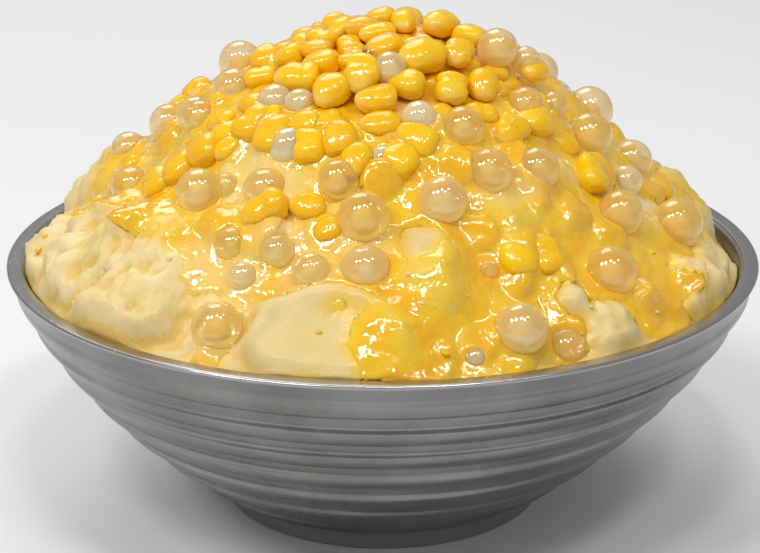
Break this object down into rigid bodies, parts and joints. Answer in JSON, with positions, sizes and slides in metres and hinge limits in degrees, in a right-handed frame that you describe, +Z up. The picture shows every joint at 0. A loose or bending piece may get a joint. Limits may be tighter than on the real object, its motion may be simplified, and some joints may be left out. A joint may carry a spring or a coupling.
{
  "type": "shaved ice dessert",
  "caption": "Round ribbed metal bowl on a foot ring, heaped high with creamy shaved ice, with sweetcorn kernels and round jelly pearls over the mound.",
  "frame": {"origin": "middle of the foot ring's underside, on the table", "axes": "+Z up along the bowl's axis, -Y towards the diner, +X to the diner's right"},
  "size_m": [0.17, 0.17, 0.1142],
  "materials": {
    "bowl": "satin, turned, with soft throwing ribs and fine scratches",
    "ice": "creamy pale yellow shaved milk ice, wet where sauce lies on it",
    "corn": "glossy cooked sweetcorn",
    "jelly": "glossy, translucent jelly"
  },
  "bodies": {
    "root": {"bowl": "bowl", "shaved_ice": "ice", "corn_heap": "corn", "pearl_01": "jelly", "pearl_02": "jelly", "pearl_03": "jelly", "pearl_04": "jelly", "pearl_05": "jelly", "pearl_06": "jelly", "pearl_07": "jelly", "pearl_08": "jelly", "pearl_09": "jelly", "pearl_10": "jelly", "pearl_11": "jelly", "pearl_12": "jelly", "pearl_13": "jelly", "pearl_14": "jelly", "pearl_15": "jelly", "pearl_16": "jelly", "pearl_17": "jelly", "pearl_18": "jelly", "pearl_19": "jelly", "pearl_20": "jelly", "pearl_21": "jelly", "pearl_22": "jelly", "pearl_23": "jelly", "pearl_24": "jelly", "pearl_25": "jelly", "pearl_26": "jelly", "pearl_27": "jelly", "corn_01": "corn", "corn_02": "corn", "corn_03": "corn", "corn_04": "corn", "corn_05": "corn", "corn_06": "corn", "corn_07": "corn", "corn_08": "corn", "corn_09": "corn", "corn_10": "corn", "corn_11": "corn"}
  },
  "joints": []
}
